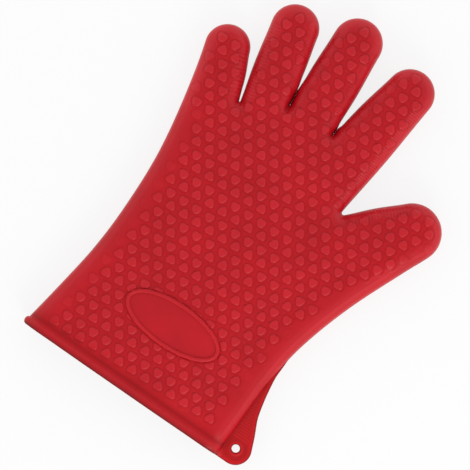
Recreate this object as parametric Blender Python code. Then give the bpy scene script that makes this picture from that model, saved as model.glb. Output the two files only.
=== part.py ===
"""Heat resistant glove: a moulded silicone five-finger gauntlet lying flat with its palm up.

Modelling frame: X runs across the hand towards the thumb, Y from the mouth of the cuff to the
fingertips, Z up out of the palm. Y is 0 at the mouth and Z is 0 under the back of the hand. At the
end the whole glove is moved so that the middle of its outline stands over the world origin.

The skin is drawn from one outline. Every point of it takes its height from how far in it lies from
that outline: the edge is a quarter ellipse, the middle of the palm rises a little further. The skin
is then divided at the wrist and at the finger creases, where the rubber folds.
"""

import math
from collections import namedtuple

import bmesh
import bpy
import numpy as np
from mathutils import Matrix, Vector
from mathutils.geometry import delaunay_2d_cdt

mm = 0.001

# From the mouth of the cuff to the tip of the middle finger. The outline below is a plan drawn in
# millimetres, which is brought to this length.
GLOVE_LENGTH = 273.1 * mm

# Cross-section of the hand
WALL = 2.5 * mm
HALF_THICKNESS = 10.0 * mm  # from the parting line to the flat of the back
EDGE_ROUND = 11.5 * mm  # how far in from the outline the edge keeps curving
CROWN_HEIGHT = 2.5 * mm  # how much further the middle of the palm rises
CROWN_START = 16.0 * mm  # the crown begins this far in from the outline
CROWN_FULL = 50.0 * mm  # and is complete this far in

# Clearances
SEAT_GAP = 0.3 * mm  # between a piece and the piece that it sits on
CUT_GAP = 0.3 * mm  # between two pieces that meet at a crease

# Plan: the little finger's side of the hand, from the mouth upwards
LEFT_SIDE = ((-73.7, 0.0), (-68.3, 33.3), (-64.3, 63.0), (-63.1, 92.8), (-64.8, 130.5), (-70.8, 167.3))
# and the thumb's side, from the thumb down to the mouth
RIGHT_SIDE = ((101.4, 158.5), (85.5, 119.4), (75.1, 83.6), (71.3, 55.3), (70.8, 31.5), (70.4, 0.0))

# A finger: middle and radius of its round tip, its lean towards the thumb from straight ahead, and
# the lengths of its last one or two segments, tip first. The segment at the root takes the rest.
Finger = namedtuple("Finger", "name tip radius lean_deg segments")
FINGER_PLAN = (
    Finger("little_finger", (-67.0, 210.5), 14.0, -23.5, (("tip", 14.5), ("middle", 13.0))),
    Finger("ring_finger", (-39.3, 243.4), 14.9, -12.0, (("tip", 20.0), ("middle", 18.0))),
    Finger("middle_finger", (-2.4, 257.6), 15.5, -3.5, (("tip", 23.0), ("middle", 21.5))),
    Finger("index_finger", (41.7, 250.5), 15.2, 8.5, (("tip", 22.0), ("middle", 20.0))),
    Finger("thumb", (91.4, 180.9), 18.2, 33.5, (("tip", 25.5),)),
)
# The round ends of the slots between neighbouring fingers: little and ring, ring and middle, ...
Slot = namedtuple("Slot", "middle radius")
SLOT_PLAN = (
    Slot((-41.8, 188.6), 0.8),
    Slot((-15.1, 203.0), 0.5),
    Slot((17.1, 203.6), 0.5),
    Slot((50.0, 167.2), 1.3),
)
FINGER_BULGE = 0.6 * mm  # how far a finger's sides swell between its slot and its tip
LITTLE_SIDE_TURN_DEG = 17.0  # the little finger's outer side leans out by this much
THUMB_SIDE_TURN_DEG = 21.5  # and the thumb's outer side by this much
ROOT_MARGIN = 2.5 * mm  # from the end of a finger's slot to the crease at its root

# Cuff
WRIST_Y = 74.0 * mm  # the crease of the wrist
RIM_DIAMETER = 3.8 * mm

# Hanging tab at the thumb side of the mouth
TAB_THICKNESS = 3.0 * mm
TAB_HOLE = (77.6, 10.2)  # on the plan
TAB_HOLE_DIAMETER = 6.0 * mm
TAB_CORNER_RADIUS = 10.0 * mm
TAB_EDGE = ((83.0, 23.0), (78.4, 33.0), (75.8, 43.0), (74.3, 51.0))  # outer edge, from the corner up
TAB_TOP_Y = 58.0 * mm
TAB_TOP_WIDTH = 1.2 * mm

# Oval ridge that frames the blank panel on the cuff
PANEL_MIDDLE = (3.0, 50.2)  # on the plan
PANEL_LENGTH = 68.0 * mm
PANEL_WIDTH = 29.0 * mm
RIDGE_WIDTH = 2.4 * mm
RIDGE_HEIGHT = 1.0 * mm

# Fineness of the faceted skin
EDGE_STEPS = 4  # bands of the quarter ellipse along the outline
HOLLOW_STEPS = 3  # the same inside
GRID = 13.0 * mm  # spacing of the points inside
ARC_STEP_DEG = 14.0
SIDE_STEPS = 3  # points to a stretch of a side curve
FINGER_STEPS = 4  # points along a finger's side
OVERRUN = 8.0 * mm  # the skin is drawn this far past the mouth, then cut square

SKIN_RED = (0.515, 0.017, 0.026, 1.0)
RIM_RED = (0.480, 0.015, 0.024, 1.0)
TAB_RED = (0.430, 0.013, 0.022, 1.0)


# ---------------------------------------------------------------- outline


unit = GLOVE_LENGTH / max(finger.tip[1] + finger.radius for finger in FINGER_PLAN)


def to_size(points):
    """Points of the plan at the glove's real size."""
    return [(x * unit, y * unit) for x, y in points]


def finger_to_size(finger):
    return finger._replace(
        tip=to_size([finger.tip])[0],
        radius=finger.radius * unit,
        segments=[(name, length * unit) for name, length in finger.segments],
    )


FINGERS = [finger_to_size(finger) for finger in FINGER_PLAN]
SLOTS = [Slot(to_size([slot.middle])[0], slot.radius * unit) for slot in SLOT_PLAN]


def heading(lean_deg):
    """Unit vector of a finger that leans towards the thumb."""
    lean = math.radians(lean_deg)
    return np.array((math.sin(lean), math.cos(lean)))


def belt_direction(first, second):
    """Direction, as an angle, of the line that touches two circles of a belt (middle, radius, turn)."""
    (a, ra, turn_a), (b, rb, turn_b) = first, second
    dx, dy = b[0] - a[0], b[1] - a[1]
    return math.atan2(dy, dx) - math.asin((turn_b * rb - turn_a * ra) / math.hypot(dx, dy))


def belt_arc(circle, start, end):
    """Points of a circle of the belt between two directions of travel."""
    (cx, cy), radius, turn = circle
    sweep = ((end - start) * turn) % math.tau
    count = max(2, math.ceil(sweep / math.radians(ARC_STEP_DEG)))
    angles = [start + turn * sweep * i / count for i in range(count + 1)]
    return [(cx + turn * radius * math.sin(a), cy - turn * radius * math.cos(a)) for a in angles]


def swollen_line(start, end):
    """Points strictly between two ends, bulging to the left of the way from one to the other."""
    start, end = np.array(start), np.array(end)
    along = end - start
    outward = np.array((-along[1], along[0])) / np.linalg.norm(along)
    shares = [i / FINGER_STEPS for i in range(1, FINGER_STEPS)]
    return [tuple(start + t * along + outward * FINGER_BULGE * math.sin(math.pi * t) ** 2) for t in shares]


def smooth_curve(points, first=None, last=None):
    """A Hermite curve through points, and its unit tangents. first and last fix the end directions."""
    points = np.array(points)
    chords = np.linalg.norm(np.diff(points, axis=0), axis=1)
    reach = np.concatenate(([0.0], np.cumsum(chords)))
    slopes = np.empty_like(points)
    slopes[1:-1] = (points[2:] - points[:-2]) / (reach[2:] - reach[:-2])[:, None]
    slopes[0] = (points[1] - points[0]) / chords[0] if first is None else first
    slopes[-1] = (points[-1] - points[-2]) / chords[-1] if last is None else last
    places, tangents = [], []
    for i, chord in enumerate(chords):
        p, q, m, n = points[i], points[i + 1], slopes[i] * chord, slopes[i + 1] * chord
        for t in np.arange(SIDE_STEPS + (i == len(chords) - 1)) / SIDE_STEPS:
            places.append(
                (2 * t**3 - 3 * t**2 + 1) * p + (t**3 - 2 * t**2 + t) * m
                + (3 * t**2 - 2 * t**3) * q + (t**3 - t**2) * n
            )
            tangents.append(
                (6 * t**2 - 6 * t) * p + (3 * t**2 - 4 * t + 1) * m
                + (6 * t - 6 * t**2) * q + (3 * t**2 - 2 * t) * n
            )
    tangents = np.array(tangents)
    return np.array(places), tangents / np.linalg.norm(tangents, axis=1)[:, None]


def drawn_in(places, tangents, inset):
    """A curve of the outline moved into the hand, which lies to the right of the way."""
    return places + inset * np.column_stack((tangents[:, 1], -tangents[:, 0]))


def past_mouth(point, tangent, inset):
    """The end of a side curve carried straight on to the overrun, drawn in along that line."""
    past = point - tangent * (point[1] + OVERRUN) / tangent[1]
    return (past[0] + inset / tangent[1], -OVERRUN)


def outline(inset=0.0):
    """The hand's outline, drawn in by inset, from the little finger's side of the mouth round the
    fingers to the thumb's side. The count of points is the same for every inset."""
    tips = [(f.tip, f.radius - inset, -1) for f in FINGERS]
    slots = [(s.middle, s.radius + inset, 1) for s in SLOTS]
    belt = [tips[0]]
    for slot, tip in zip(slots, tips[1:]):
        belt += [slot, tip]
    first = math.radians(90 + LITTLE_SIDE_TURN_DEG)
    last = math.radians(-90 - THUMB_SIDE_TURN_DEG)
    ways = [first] + [belt_direction(a, b) for a, b in zip(belt, belt[1:])] + [last]
    fingers = []
    for i, circle in enumerate(belt):
        arc = belt_arc(circle, ways[i], ways[i + 1])
        if fingers:
            fingers += swollen_line(fingers[-1], arc[0])
        fingers += arc
    outer_tips = [(f.tip, f.radius, -1) for f in (FINGERS[0], FINGERS[-1])]
    meets_little = belt_arc(outer_tips[0], first, first)[0]
    meets_thumb = belt_arc(outer_tips[1], last, last)[0]
    left = smooth_curve(to_size(LEFT_SIDE) + [meets_little], last=(math.cos(first), math.sin(first)))
    right = smooth_curve([meets_thumb] + to_size(RIGHT_SIDE), first=(math.cos(last), math.sin(last)))
    left_in, right_in = drawn_in(*left, inset), drawn_in(*right, inset)
    start = past_mouth(left[0][0], left[1][0], inset)
    end = past_mouth(right[0][-1], right[1][-1], inset)
    return np.array([start, *left_in[:-1], *fingers, *right_in[1:], end])


def distance_in(points, border):
    """How far each point lies from an open border line."""
    points = np.asarray(points)
    a, b = border[:-1], border[1:]
    along = b - a
    share = ((points[:, None] - a) * along).sum(2) / (along**2).sum(1)
    nearest = a + np.clip(share, 0, 1)[..., None] * along
    return np.linalg.norm(points[:, None] - nearest, axis=2).min(1)


BORDER = outline()


def edge_round():
    """The rounding of the edge, which stays inside the slimmest fingertip."""
    return min(EDGE_ROUND, 0.85 * min(f.radius for f in FINGERS))


def crown(distance):
    """Extra height of the palm at a distance in from the outline."""
    t = np.clip((distance - CROWN_START) / (CROWN_FULL - CROWN_START), 0, 1)
    return CROWN_HEIGHT * t * t * (3 - 2 * t)


def top_height(points):
    """Height of the palm's outer surface over points of the plane."""
    distance = distance_in(points, BORDER)
    share = 1 - np.clip(distance / edge_round(), 0, 1)
    return HALF_THICKNESS * (1 + np.sqrt(1 - share**2)) + crown(distance)


# ---------------------------------------------------------------- meshes and objects


def material(name, colour, roughness):
    made = bpy.data.materials.new(name)
    made.use_nodes = True
    shader = made.node_tree.nodes["Principled BSDF"]
    shader.inputs["Base Color"].default_value = colour
    shader.inputs["Roughness"].default_value = roughness
    shader.inputs["Metallic"].default_value = 0.0
    return made


def object_of(name, bm):
    """An object from a bmesh whose faces are turned outwards."""
    bmesh.ops.recalc_face_normals(bm, faces=bm.faces)
    mesh = bpy.data.meshes.new(name)
    bm.to_mesh(mesh)
    bm.free()
    made = bpy.data.objects.new(name, mesh)
    bpy.context.scene.collection.objects.link(made)
    return made


def inside_points(rim):
    """A triangular grid of points well inside a closed rim."""
    low, high = rim.min(0), rim.max(0)
    rows = np.arange(low[1] + GRID, high[1], GRID * math.sqrt(0.75))
    found = []
    for r, y in enumerate(rows):
        xs = np.arange(low[0] + GRID * (0.5 if r % 2 else 1.0), high[0], GRID)
        crossed = np.zeros(len(xs), bool)
        for (ax, ay), (bx, by) in zip(rim, np.roll(rim, -1, axis=0)):
            if (ay > y) != (by > y):
                crossed ^= xs < ax + (y - ay) * (bx - ax) / (by - ay)
        found += [(x, y) for x in xs[crossed]]
    found = np.array(found)
    return found[distance_in(found, np.vstack((rim, rim[:1]))) > 0.45 * GRID]


def hand_body(name, inset, steps):
    """The hand as one closed body, inset from its outer surface, with a flat end past the mouth."""
    depth, reach = HALF_THICKNESS - inset, edge_round() - inset
    turns = [math.pi / 2 * i / steps for i in range(steps + 1)]
    rings = [outline(inset + reach * (1 - math.cos(turn))) for turn in turns]
    bm = bmesh.new()

    def row(points, above):
        return [bm.verts.new((x, y, HALF_THICKNESS + z)) for (x, y), z in zip(points, above)]

    def ring_rows(side):
        rows = [seam]
        for ring, turn in zip(rings[1:], turns[1:]):
            rows.append(row(ring, [side * depth * math.sin(turn)] * len(ring)))
        return rows

    seam = row(rings[0], [0.0] * len(rings[0]))
    inner = rings[-1]
    gap = inner[0][0] - inner[-1][0]
    cap_count = max(1, round(abs(gap) / GRID))
    cap = [(inner[-1][0] + gap * i / cap_count, -OVERRUN) for i in range(1, cap_count)]
    loop = np.vstack((inner, cap)) if cap else inner
    fill = inside_points(loop)
    points = np.vstack((loop, fill))
    flat = delaunay_2d_cdt([Vector(p) for p in points], [], [list(range(len(loop)))], 1, 1e-7)
    triangles = [[flat[3][corner][0] for corner in face] for face in flat[2]]
    rise = crown(distance_in(points, BORDER))
    cap_ends = []
    for side in (1, -1):
        rows = ring_rows(side)
        for outer, within in zip(rows, rows[1:]):
            for i in range(len(outer) - 1):
                bm.faces.new((outer[i], within[i], within[i + 1], outer[i + 1]))
        heights = depth + rise if side == 1 else np.full(len(points), -depth)
        rest = row(points[len(inner):], heights[len(inner):])
        surface = rows[-1] + rest
        for face in triangles:
            bm.faces.new([surface[corner] for corner in face])
        left, right = [r[0] for r in rows[1:]], [r[-1] for r in rows[1:]]
        cap_ends.append(left + rest[: len(cap)][::-1] + right[::-1])
    bm.faces.new([seam[0]] + cap_ends[0] + [seam[-1]] + cap_ends[1][::-1])
    return object_of(name, bm)


def prism(name, corners, low, high):
    """A block that stands on a polygon of the plane."""
    bm = bmesh.new()
    base = bm.faces.new([bm.verts.new((x, y, low)) for x, y in corners])
    raised = bmesh.ops.extrude_face_region(bm, geom=[base])["geom"]
    lifted = [v for v in raised if isinstance(v, bmesh.types.BMVert)]
    bmesh.ops.translate(bm, verts=lifted, vec=(0, 0, high - low))
    return object_of(name, bm)


def combine(piece, other, operation):
    """Applies a Boolean of a piece with another body, which stays as it is."""
    modifier = piece.modifiers.new(operation.lower(), "BOOLEAN")
    modifier.operation = operation
    modifier.object = other
    modifier.solver = "EXACT"
    bpy.context.view_layer.update()
    graph = bpy.context.evaluated_depsgraph_get()
    made = bpy.data.meshes.new_from_object(piece.evaluated_get(graph))
    piece.modifiers.clear()
    piece.data = made
    made.name = piece.name


def remove(*objects):
    for each in objects:
        bpy.data.objects.remove(each)


def finish_piece(piece, look, pivot, parent=None, parent_pivot=(0, 0, 0)):
    """Moves a piece's origin to its pivot, hangs it on its parent and gives it its material."""
    piece.data.transform(Matrix.Translation(-Vector(pivot)))
    piece.location = Vector(pivot) - Vector(parent_pivot)
    piece.parent = parent
    piece.data.materials.clear()
    piece.data.materials.append(look)
    piece.data.shade_smooth()
    piece.data.set_sharp_from_angle(angle=math.radians(40))
    return piece


# ---------------------------------------------------------------- creases and zones


def along(finger, point):
    """A point's distance along a finger's heading."""
    return float(np.dot(heading(finger.lean_deg), point))


def slot_lines():
    """For each slot, a point at its end and one between the tips on both sides of it."""
    lines = []
    for slot, first, second in zip(SLOTS, FINGERS, FINGERS[1:]):
        a, b = np.array(first.tip), np.array(second.tip)
        length = np.linalg.norm(b - a)
        middle = a + (b - a) * (length + first.radius - second.radius) / (2 * length)
        lines.append((np.array(slot.middle), middle))
    return lines


def side_lines(finger):
    """The two lines that fence a finger off, as pairs of points: one on each side of it."""
    i = FINGERS.index(finger)
    way = heading(finger.lean_deg)
    tip = np.array(finger.tip)
    clear = 4 * finger.radius * np.array((way[1], -way[0]))
    lines = slot_lines()
    left = lines[i - 1] if i > 0 else (tip - clear, tip - clear + way)
    right = lines[i] if i < len(lines) else (tip + clear, tip + clear + way)
    return left, right


def crossing(finger, line, reach):
    """Where a fence line crosses the line square to the finger at a reach along it."""
    a, b = line
    start, end = along(finger, a), along(finger, b)
    return tuple(a + (b - a) * (reach - start) / (end - start))


def zone(finger, start, end):
    """The four corners of a finger's stretch between two reaches along it."""
    left, right = side_lines(finger)
    return [
        crossing(finger, left, start),
        crossing(finger, right, start),
        crossing(finger, right, end),
        crossing(finger, left, end),
    ]


def root_reach(finger):
    """Where the crease at a finger's root lies: just past the slots on both sides of it."""
    i = FINGERS.index(finger)
    ends = [along(finger, s.middle) + s.radius for s in SLOTS[max(0, i - 1) : i + 1]]
    return max(ends) + ROOT_MARGIN


def creases(finger):
    """(segment name, crease at its root, its far end) for each segment, from the root to the tip."""
    end = along(finger, finger.tip) + finger.radius
    found = []
    for name, length in finger.segments:
        found.append((name, end - length, end))
        end -= length
    found.append(("base", root_reach(finger), end))
    return found[::-1]


def hinge_point(finger, reach):
    """The crease's fold line on the palm's surface, over the finger's middle line."""
    way = heading(finger.lean_deg)
    tip = np.array(finger.tip)
    middle = tip + way * (reach - along(finger, tip))
    side = np.array((way[1], -way[0]))
    across = [middle + side * finger.radius * t for t in np.linspace(-1.5, 1.5, 31)]
    inside = [p for p in across if distance_in([p], BORDER)[0] > 0.5 * finger.radius]
    return (*middle, float(top_height(inside).max()))


# ---------------------------------------------------------------- sub-parts


# How far the cutting blocks reach past the skin: down, up and sideways
LOW, HIGH = -OVERRUN, 2 * HALF_THICKNESS + CROWN_HEIGHT + OVERRUN
WIDE = abs(BORDER[:, 0]).max() + OVERRUN


def band(name, start, end):
    """A block across the whole hand between two distances from the mouth."""
    return prism(name, [(-WIDE, start), (WIDE, start), (WIDE, end), (-WIDE, end)], LOW, HIGH)


def skin_piece(name, skin, hollow, block):
    """The part of the hollow skin that lies in a block."""
    piece = skin.copy()
    piece.data = skin.data.copy()
    piece.name = name
    bpy.context.scene.collection.objects.link(piece)
    combine(piece, block, "INTERSECT")
    combine(piece, hollow, "DIFFERENCE")
    remove(block)
    return piece


def make_palm(skin, hollow, look):
    far = GLOVE_LENGTH + OVERRUN
    palm = skin_piece("palm_shell", skin, hollow, band("palm_block", WRIST_Y + CUT_GAP / 2, far))
    for finger in FINGERS:
        start, end = creases(finger)[0][1] - CUT_GAP / 2, creases(finger)[-1][2] + OVERRUN
        block = prism(finger.name + "_block", zone(finger, start, end), LOW, HIGH)
        combine(palm, block, "DIFFERENCE")
        remove(block)
    return finish_piece(palm, look, (0, 0, 0))


def make_finger(finger, skin, hollow, palm, look):
    parent, parent_pivot = palm, (0, 0, 0)
    segments = creases(finger)
    for name, start, end in segments:
        past = OVERRUN if name == "tip" else -CUT_GAP / 2
        block = prism("block", zone(finger, start + CUT_GAP / 2, end + past), LOW, HIGH)
        piece = skin_piece(f"{finger.name}_{name}", skin, hollow, block)
        pivot = hinge_point(finger, start)
        finish_piece(piece, look, pivot, parent, parent_pivot)
        parent, parent_pivot = piece, pivot


def wrist_pivot():
    across = np.linspace(LEFT_SIDE[2][0], RIGHT_SIDE[3][0], 41) * unit * 0.7
    return (0.0, WRIST_Y, float(top_height([(x, WRIST_Y) for x in across]).max()))


def make_sleeve(skin, hollow, palm, look):
    block = band("sleeve_block", RIM_DIAMETER + SEAT_GAP, WRIST_Y - CUT_GAP / 2)
    sleeve = skin_piece("cuff_sleeve", skin, hollow, block)
    return finish_piece(sleeve, look, wrist_pivot(), palm)


def mouth_path(inset):
    """The closed line, in X and Z, that the mouth's skin follows at a depth under its outside."""
    left, right = outline(inset)[1][0], outline(inset)[-2][0]
    depth, reach = HALF_THICKNESS - inset, edge_round() - inset
    turns = [math.pi / 2 * i / 6 for i in range(6)]
    flat = np.linspace(left + reach, right - reach, round((right - left) / GRID) + 1)
    curl = [(reach * (1 - math.cos(t)), depth * math.sin(t)) for t in turns]
    top = [(left + x, z) for x, z in curl] + [(x, depth) for x in flat]
    top += [(right - x, z) for x, z in curl[::-1]]
    rise = crown(distance_in([(x, 0.0) for x, z in top], BORDER))
    upper = [(x, HALF_THICKNESS + z + r) for (x, z), r in zip(top, rise)]
    lower = [(x, HALF_THICKNESS - z) for x, z in top[-2:0:-1]]
    return np.array(upper + lower)


def make_rim(sleeve, look):
    """The bead round the mouth: a closed round ring, flush with the outside of the skin."""
    sides = 10
    radius = RIM_DIAMETER / 2
    path = mouth_path(radius)
    way = np.roll(path, -1, axis=0) - np.roll(path, 1, axis=0)
    way /= np.linalg.norm(way, axis=1)[:, None]
    outward = np.column_stack((-way[:, 1], way[:, 0]))
    bm = bmesh.new()
    rows = []
    for (x, z), (nx, nz) in zip(path, outward):
        turns = [math.tau * k / sides for k in range(sides)]
        rows.append([
            bm.verts.new((
                x + radius * nx * math.cos(t),
                radius + radius * math.sin(t),
                z + radius * nz * math.cos(t),
            ))
            for t in turns
        ])
    for first, second in zip(rows, rows[1:] + rows[:1]):
        for k in range(sides):
            m = (k + 1) % sides
            bm.faces.new((first[k], first[m], second[m], second[k]))
    rim = object_of("cuff_rim", bm)
    return finish_piece(rim, look, wrist_pivot(), sleeve, wrist_pivot())


def make_tab(sleeve, look):
    """The flat web beside the mouth, with its hanging hole."""
    side = BORDER[-3 * SIDE_STEPS - 2 : -1]
    inner = [(float(np.interp(y, side[::-1, 1], side[::-1, 0])) + SEAT_GAP, y) for y in
             np.linspace(0.0, TAB_TOP_Y, 7)]
    corner = to_size([TAB_HOLE])[0]
    edge_way = np.subtract(to_size(TAB_EDGE)[0], corner)
    square = math.degrees(math.atan2(edge_way[1], edge_way[0]))
    lean = square - math.degrees(math.acos(TAB_CORNER_RADIUS / np.linalg.norm(edge_way)))
    turns = np.radians(np.linspace(-90, lean, 9))
    arc = [
        (corner[0] + TAB_CORNER_RADIUS * math.cos(t), TAB_CORNER_RADIUS * (1 + math.sin(t)))
        for t in turns
    ]
    top = (inner[-1][0] + TAB_TOP_WIDTH, TAB_TOP_Y)
    edge, _ = smooth_curve([arc[-1]] + to_size(TAB_EDGE) + [top])
    rim = [inner[0]] + arc + [tuple(p) for p in edge[1:]] + inner[:0:-1]
    low, high = HALF_THICKNESS - TAB_THICKNESS / 2, HALF_THICKNESS + TAB_THICKNESS / 2
    tab = prism("hang_tab", rim, low, high)
    bm = bmesh.new()
    bmesh.ops.create_cone(
        bm, cap_ends=True, segments=32, radius1=TAB_HOLE_DIAMETER / 2, radius2=TAB_HOLE_DIAMETER / 2,
        depth=3 * TAB_THICKNESS,
    )
    drill = object_of("drill", bm)
    drill.location = (*corner, HALF_THICKNESS)
    combine(tab, drill, "DIFFERENCE")
    remove(drill)
    return finish_piece(tab, look, wrist_pivot(), sleeve, wrist_pivot())


def make_ridge(sleeve, look):
    """The oval ridge on the cuff, seated on the crowned skin."""
    count = 48
    cx, cy = to_size([PANEL_MIDDLE])[0]
    bm = bmesh.new()
    rows = []
    profile = ((0, 0), (0, 0.6), (0.3, 1), (0.7, 1), (1, 0.6), (1, 0))  # share in, share up
    for k in range(count):
        t = math.tau * k / count
        ring = []
        for share_in, share_up in profile:
            a, b = PANEL_LENGTH / 2 - share_in * RIDGE_WIDTH, PANEL_WIDTH / 2 - share_in * RIDGE_WIDTH
            x, y = cx + a * math.cos(t), cy + b * math.sin(t)
            seat = float(top_height([(x, y)])[0]) + SEAT_GAP
            ring.append(bm.verts.new((x, y, seat + share_up * RIDGE_HEIGHT)))
        rows.append(ring)
    for first, second in zip(rows, rows[1:] + rows[:1]):
        for k in range(len(profile)):
            m = (k + 1) % len(profile)
            bm.faces.new((first[k], first[m], second[m], second[k]))
    ridge = object_of("panel_ridge", bm)
    return finish_piece(ridge, look, wrist_pivot(), sleeve, wrist_pivot())


def main():
    for old in list(bpy.data.objects):
        bpy.data.objects.remove(old)
    skin = hand_body("skin", 0.0, EDGE_STEPS)
    hollow = hand_body("hollow", WALL, HOLLOW_STEPS)
    palm = make_palm(skin, hollow, material("palm_silicone", SKIN_RED, 0.45))
    finger_look = material("finger_silicone", SKIN_RED, 0.45)
    for finger in FINGERS:
        make_finger(finger, skin, hollow, palm, finger_look)
    sleeve = make_sleeve(skin, hollow, palm, material("cuff_silicone", SKIN_RED, 0.45))
    make_rim(sleeve, material("rim_silicone", RIM_RED, 0.40))
    make_tab(sleeve, material("tab_silicone", TAB_RED, 0.50))
    make_ridge(sleeve, material("ridge_silicone", SKIN_RED, 0.40))
    remove(skin, hollow)
    low, high = BORDER.min(0), BORDER.max(0)
    palm.location = (-(low[0] + high[0]) / 2, -high[1] / 2, 0.0)


main()
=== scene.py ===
"""Looks of a moulded silicone glove that lies flat with its palm up, built around its CAD frame.

The skin is one surface of heart-shaped nubs and fine side ribs. It is drawn on a flat plan in
millimetres, X across the hand and Y from the mouth of the cuff to the fingertips, then lifted to the
palm's side and to the back, given an inner wall, and divided where the CAD bodies hand over.
"""

from collections import namedtuple
from math import acos, asin, atan2, ceil, cos, hypot, pi, radians, sin, sqrt, tau

import bpy
import numpy as np
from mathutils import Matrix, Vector, kdtree
from mathutils.geometry import delaunay_2d_cdt

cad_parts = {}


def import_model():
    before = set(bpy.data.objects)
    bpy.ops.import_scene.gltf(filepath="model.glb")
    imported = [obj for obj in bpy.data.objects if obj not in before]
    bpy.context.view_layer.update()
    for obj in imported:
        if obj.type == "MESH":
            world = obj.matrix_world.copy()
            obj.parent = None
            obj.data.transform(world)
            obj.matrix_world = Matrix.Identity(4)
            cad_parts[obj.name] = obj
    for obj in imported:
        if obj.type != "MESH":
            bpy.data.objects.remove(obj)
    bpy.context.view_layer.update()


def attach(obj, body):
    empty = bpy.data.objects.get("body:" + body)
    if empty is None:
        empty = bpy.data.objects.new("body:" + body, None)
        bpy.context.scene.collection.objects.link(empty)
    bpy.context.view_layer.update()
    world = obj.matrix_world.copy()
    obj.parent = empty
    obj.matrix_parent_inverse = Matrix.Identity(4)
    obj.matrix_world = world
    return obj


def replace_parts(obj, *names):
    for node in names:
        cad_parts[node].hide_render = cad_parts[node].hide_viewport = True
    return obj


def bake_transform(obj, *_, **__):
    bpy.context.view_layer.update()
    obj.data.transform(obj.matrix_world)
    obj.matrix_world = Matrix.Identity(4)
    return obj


mm = 0.001

# ------------ the CAD's own sizes, in millimetres

PLAN_ORIGIN = (-14.285, -136.537)  # where the plan's origin lies in the row's frame
HALF_THICKNESS = 10.0  # from the parting line to the flat of the back
EDGE_ROUND = 11.5  # how far in from the outline the edge keeps curving
CROWN_HEIGHT = 2.5  # how much further the middle of the palm rises
CROWN_START = 16.0  # the crown begins this far in from the outline
CROWN_FULL = 50.0  # and is complete this far in

LEFT_SIDE = ((-73.7, 0.0), (-68.3, 33.3), (-64.3, 63.0), (-63.1, 92.8), (-64.8, 130.5), (-70.8, 167.3))
RIGHT_SIDE = ((101.4, 158.5), (85.5, 119.4), (75.1, 83.6), (71.3, 55.3), (70.8, 31.5), (70.4, 0.0))

# A finger: middle and radius of its round tip, its lean towards the thumb, and the reach of each
# crease along its heading.
Finger = namedtuple("Finger", "name tip radius lean_deg creases")
FINGERS = (
    Finger("little_finger", (-67.0, 210.5), 14.0, -23.5, (192.925, 206.257, 219.257)),
    Finger("ring_finger", (-39.3, 243.4), 14.9, -12.0, (204.703, 223.152, 241.152)),
    Finger("middle_finger", (-2.4, 257.6), 15.5, -3.5, (206.543, 228.266, 249.766)),
    Finger("index_finger", (41.7, 250.5), 15.2, 8.5, (206.891, 227.112, 247.112)),
    Finger("thumb", (91.4, 180.9), 18.2, 33.5, (170.823, 193.997)),
)
SEGMENTS = {3: ("base", "middle", "tip"), 2: ("base", "tip")}  # by the number of creases
FINGER_BULGE = 0.6  # how far a finger's sides swell between its slot and its tip
LITTLE_SIDE_TURN_DEG = 17.0  # the little finger's outer side leans out by this much
THUMB_SIDE_TURN_DEG = 21.5  # and the thumb's outer side by this much

WRIST_Y = 74.0
RIM_DIAMETER = 3.8
TAB_THICKNESS = 3.0
TAB_HOLE = np.array((77.6, 10.2))
TAB_CORNER_RADIUS = 10.0
TAB_EDGE = ((83.0, 23.0), (78.4, 33.0), (75.8, 43.0), (74.3, 51.0))
RIDGE_WIDTH = 2.4

# ------------ sizes that the CAD has otherwise or lacks

WALL = 2.3
# Middle and radius of the round end of each slot between neighbouring fingers. The first three are
# narrower than the CAD's, as soft fingers all but touch there.
SLOTS = (((-41.9, 187.4), 0.35), ((-15.1, 203.0), 0.12), ((17.1, 203.6), 0.12), ((50.0, 167.2), 1.3))
LITTLE_ROOT_Y = 166.0  # where the smooth side of the hand goes over into the little finger

BEAD_WIDTH = 5.2  # across the bead of the mouth, on the plan
PANEL_MIDDLE = np.array((2.7, 50.7))
PANEL_LENGTH = 66.8
PANEL_WIDTH = 28.6
RIDGE_HALF_HEIGHT = 1.1
RIDGE_LIFT = 0.25  # from the panel to the middle of the ridge

TAB_HOLE_DIAMETER = 5.1
TAB_TOP = ((73.1, 60.0), (73.2, 67.5))  # where its edge goes on to merge with the glove's side
TAB_TOP_Y = 75.0
TAB_ROUNDING = 0.7  # radius of its edges
TAB_BORDER = (2.4, 3.2)  # its sunk field begins over these distances from the edge
TAB_HOLE_BORDER = (1.6, 2.4)  # and over these from the hole
TAB_FIELD_DEPTH = 0.3
TAB_RIB_PITCH = 1.7
TAB_RIBS_FROM = (15.0, 17.0)
TAB_FILLET = 2.6  # height to which it climbs the bead's round end
TAB_FILLET_REACH = 2.2

# ------------ reaches about the wrist and the creases, in millimetres

WRIST_BEND = 12.0  # the cuff's piece reaches this much past the wrist's crease
ROOT_START = 2.2  # a finger's first piece begins this much before the crease at its root
ROOT_END = 6.0
CREASE_BEND = 5.6  # a reach on each side of the other creases; nothing bends there

# ------------ relief, in millimetres

NUB_HEIGHT = 0.75
NUB_SLOPE = 0.75  # width of a nub's sides on the plan
# One nub that points to the mouth and, beside it, one that points to the fingers. Each repeats by the
# two steps of the lattice.
NUB_ORIGINS = np.array(((2.3, 90.9), (6.8, 84.4)))
NUB_LATTICE = np.array(((9.35, 0.37), (0.02, -13.93)))
NUB_TURN_DEG = 4.0
NUB_RADIUS = 3.12
NUB_POINTED = 0.30  # how far its three corners stand out, and its sides draw in
NUB_NOTCH = 0.22
NUB_DISH = 0.10  # share of the height by which its top is hollow
NUB_POINTS = 24
WEB_HEIGHT = 0.32  # share of the height of the floor halfway between nubs
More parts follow.
